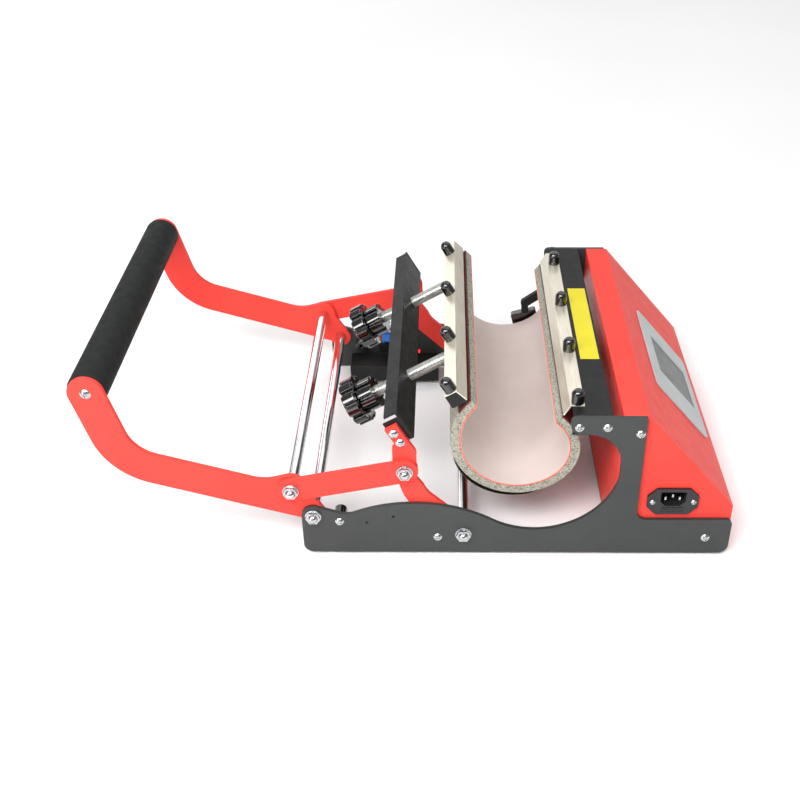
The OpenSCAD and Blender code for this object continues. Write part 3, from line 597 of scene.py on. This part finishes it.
def build_thread(name, y, body, node):
    """A pressure screw with a rolled helical thread over a solid core."""
    put = rod_point(y)
    low, high = SCREW_U
    root_r = SCREW_R - THREAD_DEPTH
    rise = SCREW_R - root_r
    row = len(THREAD_SHAPE)
    steps = int((high - low - 2 * THREAD_MARGIN) / THREAD_PITCH) * THREAD_SIDES
    points, faces = [], []
    for i in range(steps + 1):
        turn = math.tau * i / THREAD_SIDES
        fade = min(1.0, i / THREAD_SIDES, (steps - i) / THREAD_SIDES)
        for shift, height in THREAD_SHAPE:
            r = root_r + rise * height * fade
            u = low + THREAD_MARGIN + (i / THREAD_SIDES + shift) * THREAD_PITCH
            points.append(put(u, r * math.cos(turn), r * math.sin(turn)))
    for i in range(steps):
        a, b = row * i, row * (i + 1)
        for k in range(row - 1):
            faces.append((a + k, b + k, b + k + 1, a + k + 1))
        if i + THREAD_SIDES < steps:
            faces.append((a + row - 1, b + row - 1,
                          b + row * THREAD_SIDES, a + row * THREAD_SIDES))
    core_r = root_r - CORE_GAP
    back, inward = CORE_CHAMFER
    core = [(low, CORE_AXIS_R), (low, core_r - inward), (low + back, core_r),
            (high - back, core_r), (high, core_r - inward), (high, CORE_AXIS_R)]
    join_mesh(points, faces, *lathe(core, THREAD_SIDES, put))
    screw = add_mesh(name, points, faces, ["screw_steel"], sharp_deg=50)
    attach(screw, body)
    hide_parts(node)


# ---------- foam grip, millimetres ----------

GRIP_BORE_R = 12.6
GRIP_ROLL = 2.2
ROLL_STEPS = 6
GRIP_SIDES = 64


def build_grip():
    """The foam sleeve, rolled over at its two ends."""
    low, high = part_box("grip_sleeve")
    half = (high.y - low.y) / 2 / MM
    left = []
    for step in range(ROLL_STEPS + 1):
        turn = math.radians(90 / ROLL_STEPS * step)
        left.append((-half + GRIP_ROLL * (1 - math.cos(turn)),
                     GRIP_R - GRIP_ROLL * (1 - math.sin(turn))))
    right = [(-along, radius) for along, radius in reversed(left)]
    outline = [(-half, GRIP_BORE_R)] + left + [(0.0, GRIP_R)] + right + [(half, GRIP_BORE_R)]
    centre = (low + high) / 2

    def put(along, across, up):
        return Vector((centre.x + across * MM, centre.y + along * MM, centre.z + up * MM))
    points, faces = lathe(outline, GRIP_SIDES, put)
    grip = add_mesh("foam_grip", points, faces, ["foam_black"], sharp_deg=60)
    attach(grip, "lever")
    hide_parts("grip_sleeve")


# ---------- studio, metres and watts ----------

FLOOR_HALF = 12.0
FLOOR_SHADES = ((250, 250, 250), (253, 253, 253))
SURROUND = 0.32
AIM_MM = (0, 0, 80)
# name, place, size, power
SOFT_BOXES = (
    ("key_box", (-0.8, -1.3, 1.6), (1.2, 0.7), 32.0),
    ("left_strip", (-1.1, -1.1, 0.6), (0.2, 0.9), 6.0),
    ("front_fill", (0.1, -0.75, 0.9), (0.6, 0.3), 5.0),
    ("top_box", (0.4, 1.4, 3.0), (5.6, 5.0), 84.0),
    ("back_strip", (-1.3, 2.3, 1.0), (1.6, 0.4), 6.0),
)


def build_floor():
    """A pale floor with a barely uneven shade."""
    look = Finish("floor_paint", specular=0.2)
    dark, light = (srgb(*shade) for shade in FLOOR_SHADES)
    look.colour(look.two_tone(dark, light, size=0.5, detail=2))
    look.rough(look.noise(0.3, 2), low=0.7, high=0.8)
    corners = [(x * FLOOR_HALF, y * FLOOR_HALF, 0)
               for x, y in ((-1, -1), (1, -1), (1, 1), (-1, 1))]
    mesh = bpy.data.meshes.new("floor")
    mesh.from_pydata(corners, [], [(0, 1, 2, 3)])
    mesh.materials.append(look.material)
    floor = bpy.data.objects.new("floor", mesh)
    bpy.context.scene.collection.objects.link(floor)


def build_lights():
    """Soft boxes that face the press, in a dim white surround."""
    world = bpy.data.worlds.new("surround")
    world.use_nodes = True
    background = world.node_tree.nodes["Background"]
    background.inputs["Color"].default_value = WHITE
    background.inputs["Strength"].default_value = SURROUND
    bpy.context.scene.world = world

    target = place(*AIM_MM)
    for name, spot, size, power in SOFT_BOXES:
        light = bpy.data.lights.new(name, "AREA")
        light.shape = "RECTANGLE"
        light.size, light.size_y = size
        light.energy = power
        lamp = bpy.data.objects.new(name, light)
        lamp.location = spot
        lamp.rotation_euler = (target - Vector(spot)).to_track_quat("-Z", "Y").to_euler()
        bpy.context.scene.collection.objects.link(lamp)


# ---------- camera, metres and degrees ----------

LENS_MM = 50.13
SENSOR_MM = 36.0
SHIFT = (-0.05125, -0.02)
CLIP = (0.05, 60.0)
CAMERA_AT = (0.0321, -1.0146, 0.7634)
LOOK_DOWN_DEG = 33.6
LOOK_LEFT_DEG = 0.21


def add_camera():
    """The photograph's viewpoint."""
    data = bpy.data.cameras.new("camera")
    data.lens = LENS_MM
    data.sensor_width = SENSOR_MM
    data.shift_x, data.shift_y = SHIFT
    data.clip_start, data.clip_end = CLIP
    camera = bpy.data.objects.new("camera", data)
    camera.location = CAMERA_AT
    camera.rotation_euler = (math.radians(90 - LOOK_DOWN_DEG), 0, math.radians(LOOK_LEFT_DEG))
    bpy.context.scene.collection.objects.link(camera)
    bpy.context.scene.camera = camera


bpy.context.scene.view_settings.view_transform = "Standard"
finish_cad_nodes()
soften_edges()
build_heating_mat()
build_thread("near_screw_thread", -SCREW_Y, "screw_near", "pressure_screw_near")
build_thread("far_screw_thread", SCREW_Y, "screw_far", "pressure_screw_far")
build_grip()
build_floor()
build_lights()
add_camera()
